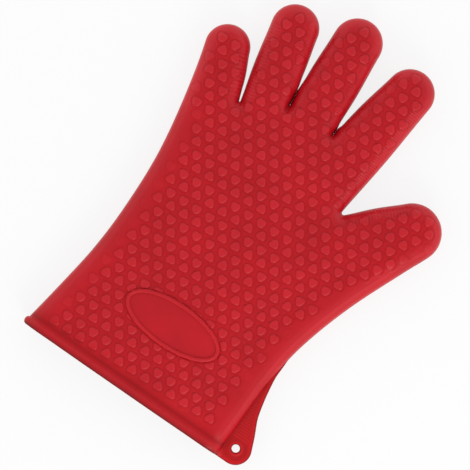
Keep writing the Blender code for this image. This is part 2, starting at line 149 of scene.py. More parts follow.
# Nubs fade in over these distances from the outline. On the thumb's side they keep further in, by
# the first number of each row, up to places on the plan between the other two.
NUB_FADE = {"smooth side": (7.0, 17.0), "thumb side": (5.8, 8.8), "fingers": (2.8, 6.2)}
THUMB_SIDE_CLEAR = ((2.5, 90.0, 140.0), (3.5, 140.0, 165.0))
RIM_CLEAR = (9.0, 12.0)  # nubs fade in over these distances from the mouth

RIB_HEIGHT = 0.36
RIB_START = (0.6, 1.6)  # ribs rise over these distances from the outline
RIB_STOP = (6.6, 8.7)  # and sink again over these
RIB_BOW = 0.6  # how far their middles stand off a straight line
RIB_FOOT = 0.06  # height share of the valleys between them
RIB_ENDS = 0.08  # share of a side over which they rise at both ends
# From the little finger's inner side to the thumb's: the ribs' strength, and the stations to a rib
RIB_SIDES = ((1.0, 6), (0.9, 5), (0.6, 4), (0.7, 4), (0.35, 4), (0.6, 4), (1.0, 4), (0.8, 5))

SEAM_ROLL = 0.25  # height of the soft roll beside the smooth sides
SEAM_ROLL_INSET = 4.6
SEAM_ROLL_REACH = 1.1
SEAM_ROLL_SHARE = {"smooth side": 0.35, "thumb side": 1.0, "fingers": 0.0}

RIM_VALLEY = 0.85  # depth of the dip behind the bead
RIM_VALLEY_Y = 7.0
RIM_VALLEY_REACH = (1.8, 4.6)  # how far it spreads towards the mouth and away from it

# At each slot: depth of the dip beyond it and its run into the palm. Above it the fingers' sides swell
# towards each other by a share of the distance from the slot's end, full up to one place and gone at
# the next. Up to the last place their parting lines all but meet, with SHUT_GAP left.
Crotch = namedtuple("Crotch", "depth run swell until gone shut")
CROTCHES = (Crotch(0.7, 3.0, 0.0, 1.0, 6.0, 0.0), Crotch(1.8, 6.0, 0.066, 6.5, 20.0, 9.2),
            Crotch(1.3, 4.5, 0.070, 2.5, 9.0, 2.8), Crotch(0.5, 2.5, 0.0, 1.0, 6.0, 0.0))
SHUT_GAP = 0.02

SEAM_FLASH = 0.08  # how far the mould's parting line stands out
SEAM_SHADE = 0.25  # share of the tone left under the painted shade along the parting line
SEAM_SHADE_REACH = 0.09  # how far in, on the plan, the painted shade reaches

# Tones of the skin, from the darkest painted shade in the folds (0) to the palest painted light on the tops
# (1)
PLAIN = 0.70
PANEL = 0.72
# painted light on the nubs' tops and on the web between them, painted shade at their feet
NUB_TOP, NUB_FOOT, WEB = 0.92, 0.27, 0.62
# painted highlight on the roll beside the smooth sides
ROLL_PALER = 0.20
# painted light on the ribs' crests
RIB_PALER = 0.50
# painted shade over the band of ribs
RIB_BAND_DARKER = 0.22
# painted light along the fingers' edges, against the shade that falls between close fingers
FINGER_EDGE_PALER = 0.22
# painted shade at the foot of the oval ridge
RIDGE_FOOT_DARKER = 0.45
# and shares of the tone that painted shade takes away in each fold
# painted shade in the dip behind the bead, in the dips beyond the slots, and on the skin beside the tab
VALLEY_LOSS = 0.74
DIP_LOSS = 0.9
BY_TAB_LOSS = 0.6

# ------------ fineness, in millimetres

RIB_STEP = 0.40  # between stations along a finger's side
SIDE_STEP = 1.2  # and along the sides of the hand
ARC_STEP_DEG = 4.5
BAND_STEPS_DEG = (0, 1, 5, 10, 15)  # the first rings follow the round edge
BAND_PITCH = 0.46  # then they are this far apart
BAND_WIDTH = 8.8
FLOOR_PITCH = 1.5  # of the grid between the nubs
TAB_PITCH = 0.42
OVERRUN = 8.0  # the plan runs this far past the mouth, then is cut
SKIN_START = 2.4  # where the skin begins, under the bead

INNER_PITCH = 6.0  # of the inner wall's grid
INNER_STEPS = 5  # rings of its round edge
INNER_COARSENESS = 4.0


# ------------ outline


def eased(value, low, high):
    """A smooth step from 0 at low to 1 at high."""
    t = np.clip((value - low) / (high - low), 0, 1)
    return t * t * (3 - 2 * t)


def hump(value, width):
    """1 where the value is 0, sinking to both sides."""
    return np.exp(-((value / width) ** 2))


def unit(vectors):
    """Rows of vectors, each made 1 long."""
    return vectors / np.linalg.norm(vectors, axis=1)[:, None]


def distances(points, place):
    """Distance of each point from a place."""
    return np.linalg.norm(points - np.array(place), axis=1)


def left_of(ways):
    """Directions at a right angle to the left of others."""
    return np.column_stack((-ways[:, 1], ways[:, 0]))


def heading(finger):
    """Unit vector of a finger that leans towards the thumb."""
    lean = radians(finger.lean_deg)
    return np.array((sin(lean), cos(lean)))


def belt_direction(first, second):
    """Direction, as an angle, of the line that touches two circles (middle, radius, turn)."""
    (a, ra, turn_a), (b, rb, turn_b) = first, second
    dx, dy = b[0] - a[0], b[1] - a[1]
    return atan2(dy, dx) - asin((turn_b * rb - turn_a * ra) / hypot(dx, dy))


def belt_arc(circle, start, end, step_deg):
    """Points of a circle of the belt between two directions of travel."""
    (cx, cy), radius, turn = circle
    sweep = ((end - start) * turn) % tau
    count = max(2, ceil(round(sweep / radians(step_deg), 6)))
    angles = [start + turn * sweep * i / count for i in range(count + 1)]
    return [(cx + turn * radius * sin(a), cy - turn * radius * cos(a)) for a in angles]


def swollen_line(start, end, step, crotch, slot_first):
    """Points between two ends, bulging to the left of the way, and how far along each is. The side
    swells again near the slot, at its first or its last end."""
    start, end = np.array(start), np.array(end)
    along = end - start
    length = np.linalg.norm(along)
    outward = np.array((-along[1], along[0])) / length
    count = round(round(length, 4) / step)
    t = (np.arange(1, count) / count)[:, None]
    from_slot = length * (t if slot_first else 1 - t)
    swell = crotch.swell * from_slot * (1 - eased(from_slot, crotch.until, crotch.gone))
    points = start + t * along + outward * (FINGER_BULGE * np.sin(pi * t) ** 2 + swell)
    return points, t[:, 0]


def smooth_curve(points, step, first=None, last=None):
    """A curve through points, and its unit tangents. first and last fix the end directions."""
    points = np.array(points)
    chords = np.linalg.norm(np.diff(points, axis=0), axis=1)
    reach = np.concatenate(([0.0], np.cumsum(chords)))
    slopes = np.empty_like(points)
    slopes[1:-1] = (points[2:] - points[:-2]) / (reach[2:] - reach[:-2])[:, None]
    slopes[0] = (points[1] - points[0]) / chords[0] if first is None else first
    slopes[-1] = (points[-1] - points[-2]) / chords[-1] if last is None else last
    places, tangents = [], []
    for i, chord in enumerate(chords):
        p, q, m, n = points[i], points[i + 1], slopes[i] * chord, slopes[i + 1] * chord
        steps = max(2, round(chord / step))
        for t in np.arange(steps + (i == len(chords) - 1)) / steps:
            places.append(
                (2 * t**3 - 3 * t**2 + 1) * p + (t**3 - 2 * t**2 + t) * m
                + (3 * t**2 - 2 * t**3) * q + (t**3 - t**2) * n
            )
            tangents.append(
                (6 * t**2 - 6 * t) * p + (3 * t**2 - 4 * t + 1) * m
                + (6 * t - 6 * t**2) * q + (3 * t**2 - 2 * t) * n
            )
    return np.array(places), unit(np.array(tangents))


def past_mouth(point, tangent, inset):
    """Where the hand's straight side, drawn in, ends past the mouth."""
    past = point - tangent * (point[1] + OVERRUN) / tangent[1]
    return (past[0] + inset / tangent[1], -OVERRUN)


def belt(inset):
    """The fingertips and the ends of the slots as circles (middle, radius, turn), in turn."""
    tips = [(f.tip, f.radius - inset, -1) for f in FINGERS]
    slots = [(middle, radius + inset, 1) for middle, radius in SLOTS]
    circles = [tips[0]]
    for slot, tip in zip(slots, tips[1:]):
        circles += [slot, tip]
    return circles


def outline(inset=0.0, coarseness=1.0):
    """The hand's outline drawn in by inset, and at each station the rib's height share and the kind of
    side. The stations correspond between insets."""
    bow = RIB_BOW / RIB_STEP * (1 - (inset / 5 - 1) ** 2)
    circles = belt(inset)
    first = radians(90 + LITTLE_SIDE_TURN_DEG)
    last = radians(-90 - THUMB_SIDE_TURN_DEG)
    ways = [first] + [belt_direction(a, b) for a, b in zip(circles, circles[1:])] + [last]
    arc_step, rib_step, side_step = (v * coarseness for v in (ARC_STEP_DEG, RIB_STEP, SIDE_STEP))
    fingers, ribs = [], []
    for i, circle in enumerate(circles):
        arc = belt_arc(circle, ways[i], ways[i + 1], arc_step)
        if fingers:
            crotch = CROTCHES[(i - 1) // 2]
            line, t = swollen_line(fingers[-1], arc[0], rib_step, crotch, i % 2 == 0)
            fingers += [*line]
            strength, stations = RIB_SIDES[i - 1]
            wave = 0.5 - 0.5 * np.cos(tau * (np.arange(len(t)) + bow) / stations)
            strength = strength * np.clip(np.minimum(t, 1 - t) / RIB_ENDS, 0, 1)
            ribs += [*strength * (RIB_FOOT + (1 - RIB_FOOT) * wave)]
        fingers += arc
        ribs += [0.0] * len(arc)
    outer = belt(0.0)
    (meets_little, way_up), (meets_thumb, way_down) = (
        (belt_arc(circle, turn, turn, arc_step)[0], (cos(turn), sin(turn)))
        for circle, turn in ((outer[0], first), (outer[-1], last))
    )
    left = smooth_curve([*LEFT_SIDE, meets_little], side_step, last=way_up)
    right = smooth_curve([meets_thumb, *RIGHT_SIDE], side_step, first=way_down)
    start = past_mouth(left[0][0], left[1][0], inset)
    end = past_mouth(right[0][-1], right[1][-1], inset)
    left_in, right_in = (places - inset * left_of(tangents) for places, tangents in (left, right))
    left_in, right_in = left_in[:-1], right_in[1:]
    points = np.array([start, *left_in, *fingers, *right_in, end])
    share = np.array([0.0] * (1 + len(left_in)) + ribs + [0.0] * (len(right_in) + 1))
    kinds = np.full(len(points), "smooth side")
    kinds[1 + int((left_in[:, 1] < LITTLE_ROOT_Y).sum()):] = "fingers"
    kinds[-1 - len(right_in):] = "thumb side"
    return points, share, kinds


BORDER, _, BORDER_KINDS = outline()
BORDER_TREE = kdtree.KDTree(len(BORDER))
for number, (border_x, border_y) in enumerate(BORDER):
    BORDER_TREE.insert((border_x, border_y, 0.0), number)
BORDER_TREE.balance()


def nearest_border(points):
    """Distance of each point from the outline, and the kind of side there."""
    found = [BORDER_TREE.find((x, y, 0.0)) for x, y in points]
    return np.array([f[2] for f in found]), BORDER_KINDS[[f[1] for f in found]]


def inside(points, rim):
    """Which points lie inside a closed rim."""
    x, y = points[:, 0], points[:, 1]
    crossed = np.zeros(len(points), bool)
    for (ax, ay), (bx, by) in zip(rim, np.roll(rim, -1, axis=0)):
        if ay != by:
            crossed ^= ((ay > y) != (by > y)) & (x < ax + (y - ay) * (bx - ax) / (by - ay))
    return crossed


# ------------ relief


def heart_radius(turn):
    """Radius of a nub's foot at an angle from its point."""
    notch = NUB_NOTCH * hump(np.abs(turn) - pi, 0.38)
    return NUB_RADIUS + NUB_POINTED * np.cos(3 * turn) - notch


def heart_centres(points, twin):
    """The nearest nub of one of the two lattices, for each point."""
    steps = np.rint((points - NUB_ORIGINS[twin]) @ np.linalg.inv(NUB_LATTICE))
    return steps @ NUB_LATTICE + NUB_ORIGINS[twin]


def nub_strength(centres):
    """How far the nub at each place rises: less near the outline and the mouth."""
    unique, back = np.unique(np.round(centres, 3), axis=0, return_inverse=True)
    distance, kinds = nearest_border(unique)
    for further, low, high in THUMB_SIDE_CLEAR:
        distance -= further * (1 - eased(unique[:, 1], low, high)) * (kinds == "thumb side")
    strength = eased(unique[:, 1], *RIM_CLEAR)
    for kind, (low, high) in NUB_FADE.items():
        chosen = kinds == kind
        strength[chosen] *= eased(distance[chosen], low, high)
    return strength[back.ravel()]


def turned(points, by_deg):
    """Points turned about the origin."""
    c, d = cos(radians(by_deg)), sin(radians(by_deg))
    return points @ np.array(((c, d), (-d, c)))


def past_nubs(points):
    """How far outside the foot of its nearest nub each point lies, and how far that nub rises."""
    past, strength = np.full(len(points), 99.0), np.zeros(len(points))
    for twin in (0, 1):
        centres = heart_centres(points, twin)
        across, along = turned(points - centres, -NUB_TURN_DEG).T
        turn = np.arctan2(across, along if twin else -along)
        here = np.hypot(across, along) - heart_radius(turn)
        nearer = here < past
        past[nearer] = here[nearer]
        strength[nearer] = nub_strength(centres)[nearer]
    return past, strength


def nub_relief(points, distance):
    """Height share and painted shade of the nubs: painted shade at their feet and painted light on their tops
    and on the web between them. Their edges are softer in the band along the outline, whose mesh doesn't
    follow them."""
    past, strength = past_nubs(points)
    soft = 1 - eased(distance, BAND_WIDTH - 1.0, BAND_WIDTH + 1.0)
    height = eased(-past, -0.35 * soft, NUB_SLOPE + 0.45 * soft)
    height += WEB_HEIGHT * eased(past, 0.15, 1.0) - NUB_DISH * eased(-past, 1.0, 2.3)
    # Painted light on the tops, palest just inside their edges.
    top = NUB_TOP + 0.08 * eased(-past, 0.3, 0.8) - 0.08 * eased(-past, 0.9, 2.0)
    shade = NUB_FOOT + (top - NUB_FOOT) * eased(-past, -0.4 * soft, 0.60 + 0.45 * soft)
    shade += (WEB - NUB_FOOT) * eased(past, 0.15 + 0.15 * soft, 0.85 + 0.3 * soft)
    return strength * height, PLAIN + strength * (shade - PLAIN)


def along_slot(points, k):
    """Distances along a slot, from the middle of its round end, and across it."""
    way = heading(FINGERS[k]) + heading(FINGERS[k + 1])
    way /= np.linalg.norm(way)
    off = points - np.array(SLOTS[k][0])
    return off @ way, off[:, 0] * way[1] - off[:, 1] * way[0]


def crotch_dip(points):
    """Depth of the dips beyond the slots, and a share from 0 to 1 of the painted shade in them."""
    depth, dark = np.zeros(len(points)), np.zeros(len(points))
    for k, crotch in enumerate(CROTCHES):
        along, side = along_slot(points, k)
        here = hump(side, 1.7) * eased(along, -crotch.run - 0.5, 2.5 - crotch.run)
        here *= 1 - eased(along, crotch.shut - 2.0, crotch.shut + 2.5)
        depth = np.maximum(depth, crotch.depth * here)
        dark = np.maximum(dark, min(1.0, crotch.depth / 1.4) * here)
    return depth, dark


def oval_distance(points):
    """How far each point lies outside the ridge's outer edge."""
    x, y = (points - PANEL_MIDDLE).T
    a, b = PANEL_LENGTH / 2, PANEL_WIDTH / 2
    q = np.sqrt((x / a) ** 2 + (y / b) ** 2) + 1e-9
    slope = np.sqrt(x**2 / a**4 + y**2 / b**4) / q
    return (q - 1) / np.maximum(slope, 1e-6)


def crown(distance):
    """How far the palm's middle rises further."""
    return CROWN_HEIGHT * eased(distance, CROWN_START, CROWN_FULL)


def round_edge(distance, start=0.0):
    """Height share of the rounded edge."""
    share = 1 - np.clip((distance - start) / (EDGE_ROUND - start), 0, 1)
    return np.sqrt(1 - share**2)


def rib_relief(distance, share):
    """Height share of the ribs."""
    return share * eased(distance, *RIB_START) * (1 - eased(distance, *RIB_STOP))


def on_side(rise, distance, palm_side):
    """Height of what rises from the parting line, on the palm's side or the back."""
    return HALF_THICKNESS + rise + crown(distance) if palm_side else HALF_THICKNESS - rise


def skin_heights(rows, palm_side):
    """Height and painted shade of the outer skin. Tops of nubs lie at the CAD's surface."""
    points, distance, rib_share = rows[:, :2], rows[:, 2], rows[:, 3]
    nubs, shade = nub_relief(points, distance)
    if palm_side:
        past_ridge = oval_distance(points)
        clear = eased(past_ridge, 0.1, 1.2)
        nubs, shade = nubs * clear, PANEL + clear * (shade - PANEL)
        # Painted shade at the foot of the oval ridge.
        shade -= RIDGE_FOOT_DARKER * hump(past_ridge - 0.5, 0.6)
    _, kinds = nearest_border(points)
    # A real roll beside the sides, which the shade below also makes paler as a painted highlight.
    roll = np.array([SEAM_ROLL_SHARE[kind] for kind in kinds]) * eased(points[:, 1], RIM_VALLEY_Y, 12.0)
    roll *= hump(distance - SEAM_ROLL_INSET, SEAM_ROLL_REACH)
    ribs = rib_relief(distance, rib_share) * (1 - 0.6 * np.clip(nubs, 0, 1))
    # The band of ribs is painted darker as painted shade, and the ribs' crests paler as painted light.
    band = rib_relief(distance, eased(rib_share, 0.0, 0.01))
    # Painted shade on the skin beside the tab.
    by_tab = (kinds == "thumb side") * (1 - eased(points[:, 1], 52.0, 70.0))
    by_tab *= 1 - eased(distance, 0.3, 2.5)
    # Real dips beyond the slots, with painted shade in them.
    depth, dark = crotch_dip(points)
    # A real dip behind the bead, with painted shade in it.
    past_valley = points[:, 1] - RIM_VALLEY_Y
    valley = hump(past_valley, np.where(past_valley < 0, *RIM_VALLEY_REACH))
    rise = (HALF_THICKNESS - NUB_HEIGHT) * round_edge(distance) + NUB_HEIGHT * nubs + RIB_HEIGHT * ribs
    rise += SEAM_ROLL * roll - (RIM_VALLEY * valley + depth) * round_edge(distance)
    # Painted light on the roll, the ribs' crests and the fingers' edges; painted shade over the band of ribs
    # and in the folds.
    shade = shade + ROLL_PALER * roll + RIB_PALER * ribs - RIB_BAND_DARKER * band
    shade += FINGER_EDGE_PALER * (kinds == "fingers") * (1 - eased(distance, 3.0, 6.5))
    shade *= (1 - VALLEY_LOSS * valley) * (1 - DIP_LOSS * dark) * (1 - BY_TAB_LOSS * by_tab)
    # Painted shade along the parting line.
    shade *= SEAM_SHADE + (1 - SEAM_SHADE) * eased(distance, 0.0, SEAM_SHADE_REACH)
    return on_side(rise, distance, palm_side), np.clip(shade, 0, 1)


def wall_heights(rows, palm_side):
    """Height and shade of the inner wall."""
    rise = (HALF_THICKNESS - WALL) * round_edge(rows[:, 2], WALL)
    return on_side(rise, rows[:, 2], palm_side), np.full(len(rows), PLAIN)


# ------------ the plan's flat mesh


def nub_points():
    """Loops of points round every nub, from its foot to its top."""
    low, high = BORDER.min(0), BORDER.max(0)
    grid = np.stack(np.meshgrid(np.arange(-12, 13), np.arange(-16, 17)), -1).reshape(-1, 2)
    loops = ((0.55, 0.8), (0.08, 1.0), (-0.28, 1.0), (-0.68, 1.0), (-1.5, 0.5))  # way out, share of points
    found = []
    for twin in (0, 1):
        centres = NUB_ORIGINS[twin] + grid @ NUB_LATTICE
        centres = centres[((centres > low) & (centres < high)).all(1)]
        centres = centres[nub_strength(centres) > 0.01]
        found.append(centres)
        for past, share in loops:
            turn = np.linspace(-pi, pi, round(NUB_POINTS * share), endpoint=False)
            radius = heart_radius(turn) + past
            way = 1 if twin else -1
            ring = np.column_stack((radius * np.sin(turn), way * radius * np.cos(turn)))
            found.append((centres[:, None] + turned(ring, NUB_TURN_DEG)).reshape(-1, 2))
    return np.vstack(found)


def grid_points(pitch):
    """A grid of points in equal triangles over the whole plan."""
    low, high = BORDER.min(0), BORDER.max(0)
    rows = np.arange(low[1], high[1], pitch * sqrt(0.75))
    return np.array([
        (x, y) for r, y in enumerate(rows) for x in np.arange(low[0] + pitch * 0.5 * (r % 2), high[0], pitch)
    ])


def floor_points():
    """A grid of points between the nubs."""
    points = grid_points(FLOOR_PITCH)
    past, strength = past_nubs(points)
    return points[(past > 0.95) | (strength < 0.01)]


def filled(points, rim_count, edges=()):
    """Triangles among flat points, inside the closed rim that the first of them make."""
    flat = delaunay_2d_cdt([Vector(p) for p in points], list(edges), [list(range(rim_count))], 1, 1e-6)
    source = np.array([found[0] for found in flat[3]])
    return source[np.array([list(face) for face in flat[2]])]


def plan_mesh(insets, coarseness, fill, margin):
    """A flat mesh of the whole hand: rings along the outline, then triangles among the fill points.
    Each row of points is x, y, distance in from the outline, and rib share."""
    rings = [outline(inset, coarseness)[:2] for inset in insets]
    count = len(rings[0][0])
    rows = [
        np.column_stack((ring, np.full(count, inset), share)) for (ring, share), inset in zip(rings, insets)
    ]
    first = np.arange(count - 1)
    triangles = []
    for r in range(len(rings) - 1):
        a, b = r * count + first, (r + 1) * count + first
        triangles += [np.column_stack((a, a + 1, b)), np.column_stack((a + 1, b + 1, b))]
    inner = rings[-1][0]
    fill = fill[inside(fill, inner)]
    distance, _ = nearest_border(fill)
    deep = distance > insets[-1] + margin
    fill = np.column_stack((fill, distance, np.zeros(len(fill))))[deep]
    cap = np.arange(inner[-1][0] - 4, inner[0][0] + 2, -4.0)
    cap = np.column_stack((cap, np.full(len(cap), -OVERRUN)))
    cap = np.column_stack((cap, nearest_border(cap)[0], np.zeros(len(cap))))
    points = np.vstack(rows + [fill, cap])
    ring_start, fill_start = (len(rings) - 1) * count, len(rings) * count
    cap_start = fill_start + len(fill)
    loop = np.concatenate((np.arange(ring_start, fill_start), np.arange(cap_start, len(points))))
    order = np.concatenate((loop, np.arange(fill_start, cap_start)))
    triangles.append(order[filled(points[order, :2], len(loop))])
    return points, counter_clockwise(points, np.vstack(triangles))


def counter_clockwise(points, triangles):
    """The triangles turned the same way, without those that have no area."""
    a, b, c = (points[triangles[:, k], :2] for k in range(3))
    area = np.cross(b - a, c - a)
    triangles = np.where(area[:, None] < 0, triangles[:, ::-1], triangles)
    return triangles[abs(area) > 1e-9]


def split(points, triangles, level, chosen=True):
    """Divides triangles, all or the chosen ones, along the line where level is 0."""
    level = np.where(abs(level) < 1e-6, 0.0, level)
    side = np.sign(level)[triangles]
    crossed = chosen & (side.min(1) < 0) & (side.max(1) > 0)
    added, made, at = [], [], {}
    for triangle in triangles[crossed]:
        loop = []
        for a, b in zip(triangle, np.roll(triangle, -1)):
            loop.append(a)
            if level[a] * level[b] < 0:
                key = (min(a, b), max(a, b))
                if key not in at:
                    share = level[key[0]] / (level[key[0]] - level[key[1]])
                    at[key] = len(points) + len(added)
                    added.append(points[key[0]] * (1 - share) + points[key[1]] * share)
                loop.append(at[key])
        for sign in (1, -1):
            part = [v for v in loop if v >= len(points) or level[v] * sign >= 0]
            made += [(part[0], part[i], part[i + 1]) for i in range(1, len(part) - 1)]
    if not made:
        return points, triangles
    return np.vstack((points, added)), np.vstack((triangles[~crossed], made))


# ------------ division into pieces


def fence(finger, places):
    """Which places lie between the middles of the slots on both sides of a finger."""
    i = FINGERS.index(finger)
    within = np.ones(len(places), bool)
    for k, side in ((i - 1, -1), (i, 1)):
        if not 0 <= k < len(SLOTS):
            continue
        first, second = FINGERS[k], FINGERS[k + 1]
        a, b = np.array(first.tip), np.array(second.tip)
        length = np.linalg.norm(b - a)
        middle = a + (b - a) * (length + first.radius - second.radius) / (2 * length)
        slot = np.array(SLOTS[k][0])
        way, off = middle - slot, places - slot
        within &= (way[0] * off[:, 1] - way[1] * off[:, 0]) * side > 0
    return within


def piece_starts(finger):
    """Where each of a finger's pieces begins along its heading: the first just past the slots."""
    creases = finger.creases
    return (creases[0] - ROOT_START,) + tuple((a + b) / 2 for a, b in zip(creases, creases[1:]))


def divide(points, triangles):
    """Cuts the plan's mesh where its pieces meet, and names the piece of each triangle."""
    points, triangles = split(points, triangles, points[:, 1] - SKIN_START)
    triangles = triangles[points[triangles, 1].mean(1) > SKIN_START]
    points, triangles = split(points, triangles, points[:, 1] - WRIST_Y - WRIST_BEND)
    for finger in FINGERS:
        for start in piece_starts(finger):
            centres = points[triangles, :2].mean(1)
            chosen = (abs(centres @ heading(finger) - start) < 8) & fence(finger, centres)
            points, triangles = split(points, triangles, points[:, :2] @ heading(finger) - start, chosen)
    centres = points[triangles, :2].mean(1)
    names = np.where(centres[:, 1] < WRIST_Y + WRIST_BEND, "cuff_sleeve", "palm_shell").astype(object)
    for finger in FINGERS:
        within = fence(finger, centres)
        for name, start in zip(SEGMENTS[len(finger.creases)], piece_starts(finger)):
            names[within & (centres @ heading(finger) > start)] = f"{finger.name}_{name}"
    return points, triangles, names


def with_flash(points, triangles, names):
    """The plan with its outline moved out by the mould's flash, less so between fingers."""
    seam = np.array([v for v in border_loops(triangles)[0] if points[v, 2] <= 1e-9])
    steps = distances(points[seam, :2], points[np.roll(seam, 1), :2])
    seam = np.roll(seam, -int(np.argmax(steps)))
    places = points[seam, :2]
    way = unit(np.gradient(places, axis=0))
    from_slots = np.min([distances(places, middle) for middle, _ in SLOTS], axis=0)
    size = SEAM_FLASH * eased(from_slots, 3.0, 16.0)
    for k, crotch in enumerate(CROTCHES):
        along, side = along_slot(places, k)
        near = (along > 0) & (along < crotch.shut + 4.0) & (abs(side) < 1.5)
        closing = (abs(side) - SHUT_GAP / 2) * (1 - eased(along, crotch.shut, crotch.shut + 4.0))
        size = np.where(near & (crotch.shut > 0), np.maximum(size, closing), size)
    points = points.copy()
    points[seam, :2] -= left_of(way) * size[:, None]
    return points, triangles, names


def lifted(points, triangles, names, heights):
    """The palm's side and the back of a plan mesh as one surface in 3-D, joined along its outline."""
    seam = points[:, 2] <= points[:, 2].min() + 1e-9
    sides = [np.column_stack((points[:, :2], *heights(points, palm_side))) for palm_side in (True, False)]
    below = np.arange(len(points)) + len(points)
    below[seam] = np.flatnonzero(seam)
    return np.vstack(sides), np.vstack((triangles, below[triangles][:, ::-1])), np.tile(names, 2)


def vertex_normals(places, faces):
    """The surface's direction at each vertex."""
    a, b, c = (places[faces[:, k]] for k in range(3))
    across = np.cross(b - a, c - a)
    normals = np.zeros_like(places)
    for k in range(3):
        np.add.at(normals, faces[:, k], across)
    return normals / np.maximum(distances(normals, 0), 1e-12)[:, None]


def border_loops(faces):
    """The open borders of a surface, each as a loop of vertices."""
    edges = np.vstack([faces[:, (k, (k + 1) % 3)] for k in range(3)])
    both = {(int(a), int(b)) for a, b in edges}
    following = {a: b for a, b in both if (b, a) not in both}
    loops = []
    while following:
        start = min(following)
        loop, here = [start], following.pop(start)
        while here != start:
            loop.append(here)
            here = following.pop(here)
        loops.append(loop)
    return loops


def bridge(places, outer, inner):
    """Triangles between an open border of the skin and the one of the inner wall beneath it."""
    inner = inner[::-1]

    def from_leftmost(loop):
        k = int(np.argmin(places[loop, 0] - 1e-3 * places[loop, 1]))
        loop = loop[k:] + loop[:k] + [loop[k]]
        steps = np.linalg.norm(np.diff(places[loop], axis=0), axis=1)
        return loop, np.concatenate(([0.0], np.cumsum(steps))) / steps.sum()

    (o, o_at), (n, n_at) = from_leftmost(outer), from_leftmost(inner)
    i = k = 0
    made = []
    while i < len(o) - 1 or k < len(n) - 1:
        if k == len(n) - 1 or (i < len(o) - 1 and o_at[i + 1] <= n_at[k + 1]):
            made.append((o[i + 1], o[i], n[k]))
            i += 1
        else:
            made.append((o[i], n[k], n[k + 1]))
            k += 1
    return made


# ------------ objects


def world(places):
    """Places of the plan, with heights, in the row's frame in metres."""
    return (places + np.array((*PLAN_ORIGIN, 0.0))) * mm


def put_in_scene(name, data):
    """A new object with this data, in the scene."""
    made = bpy.data.objects.new(name, data)
    bpy.context.scene.collection.objects.link(made)
    return made


def mesh_object(name, places, faces, look, relief, normals=None):
    """A mesh in the row's frame, with its rest places and its painted shade as attributes for its material."""
    mesh = bpy.data.meshes.new(name)
    mesh.from_pydata(world(places).tolist(), [], [tuple(map(int, face)) for face in faces])
    mesh.validate()
    rest = mesh.attributes.new("rest", "FLOAT_VECTOR", "POINT")
    rest.data.foreach_set("vector", world(places).astype(np.float32).ravel())
    height = mesh.attributes.new("relief", "FLOAT", "POINT")
    height.data.foreach_set("value", np.asarray(relief, np.float32))
    mesh.shade_smooth()
    if normals is not None:
        mesh.normals_split_custom_set_from_vertices(normals.tolist())
    mesh.materials.append(look)
    return put_in_scene(name, mesh)


def skin_pieces(look):
    """The glove's skin: each piece with its outside, its inner wall and the cut faces between."""
    insets = [EDGE_ROUND * (1 - cos(radians(turn))) for turn in BAND_STEPS_DEG]
    rest = np.linspace(insets[-1], BAND_WIDTH, round((BAND_WIDTH - insets[-1]) / BAND_PITCH) + 1)
    insets += list(rest[1:])
    fill = np.vstack((nub_points(), floor_points()))
    outer_plan = divide(*plan_mesh(insets, 1.0, fill, 0.25))
    outer, outer_faces, outer_names = lifted(*with_flash(*outer_plan), skin_heights)
    turns = [pi / 2 * k / INNER_STEPS for k in range(INNER_STEPS + 1)]
    insets = [WALL + (EDGE_ROUND - WALL) * (1 - cos(turn)) for turn in turns]
    inner_plan = divide(*plan_mesh(insets, INNER_COARSENESS, grid_points(INNER_PITCH), 1.5))
    inner, inner_faces, inner_names = lifted(*inner_plan, wall_heights)
    inner_faces = inner_faces[:, ::-1]
    places = np.vstack((outer[:, :3], inner[:, :3]))
    relief = np.concatenate((outer[:, 3], inner[:, 3]))
    normals = vertex_normals(places, np.vstack((outer_faces, inner_faces + len(outer))))
    made = {}
    for name in sorted(set(outer_names)):
        outside = outer_faces[outer_names == name]
        within = inner_faces[inner_names == name] + len(outer)
        faces = [outside, within]
        inner_loops = border_loops(within)
        for loop in border_loops(outside):
            centre = places[loop].mean(0)
            partner = min(inner_loops, key=lambda other: np.linalg.norm(places[other].mean(0) - centre))
            faces.append(np.array(bridge(places, loop, partner)))
        used, compact = np.unique(np.vstack(faces), return_inverse=True)
        faces = compact.reshape(-1, 3)
        made[name] = mesh_object(name + "_skin", places[used], faces, look, relief[used], normals[used])
        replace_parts(made[name], name)
    return made


def strip(a, b, size, turn=1):
    """Triangles between rings of vertices that start at a and b, turned over if turn is -1."""
    faces = []
    for i in range(size):
        j = (i + 1) % size
        quad = (a + i, a + j, b + j, b + i)[::turn]
        faces += [(quad[0], quad[1], quad[2]), (quad[0], quad[2], quad[3])]
    return faces


def tube(count, section):
    """A closed ring of cross-sections. section gives the points of each."""
    places = np.array([section(k) for k in range(count)])
    sides = places.shape[1]
    faces = [face for k in range(count) for face in strip(k * sides, (k + 1) % count * sides, sides)]
    return places.reshape(-1, 3), np.array(faces)


def full_turn(count):
    """Angles all the way round, evenly apart."""
    return np.arange(count) * tau / count


def ways_round(loop):
    """Directions along a closed loop of points."""
    return unit(np.roll(loop, -1, axis=0) - np.roll(loop, 1, axis=0))


def bead_shade(y):
    """Painted shade of the bead at a distance from the mouth: darkest at the mouth's edge, paler further in.
    """
    return 0.78 * eased(y, 0.5, 3.3)


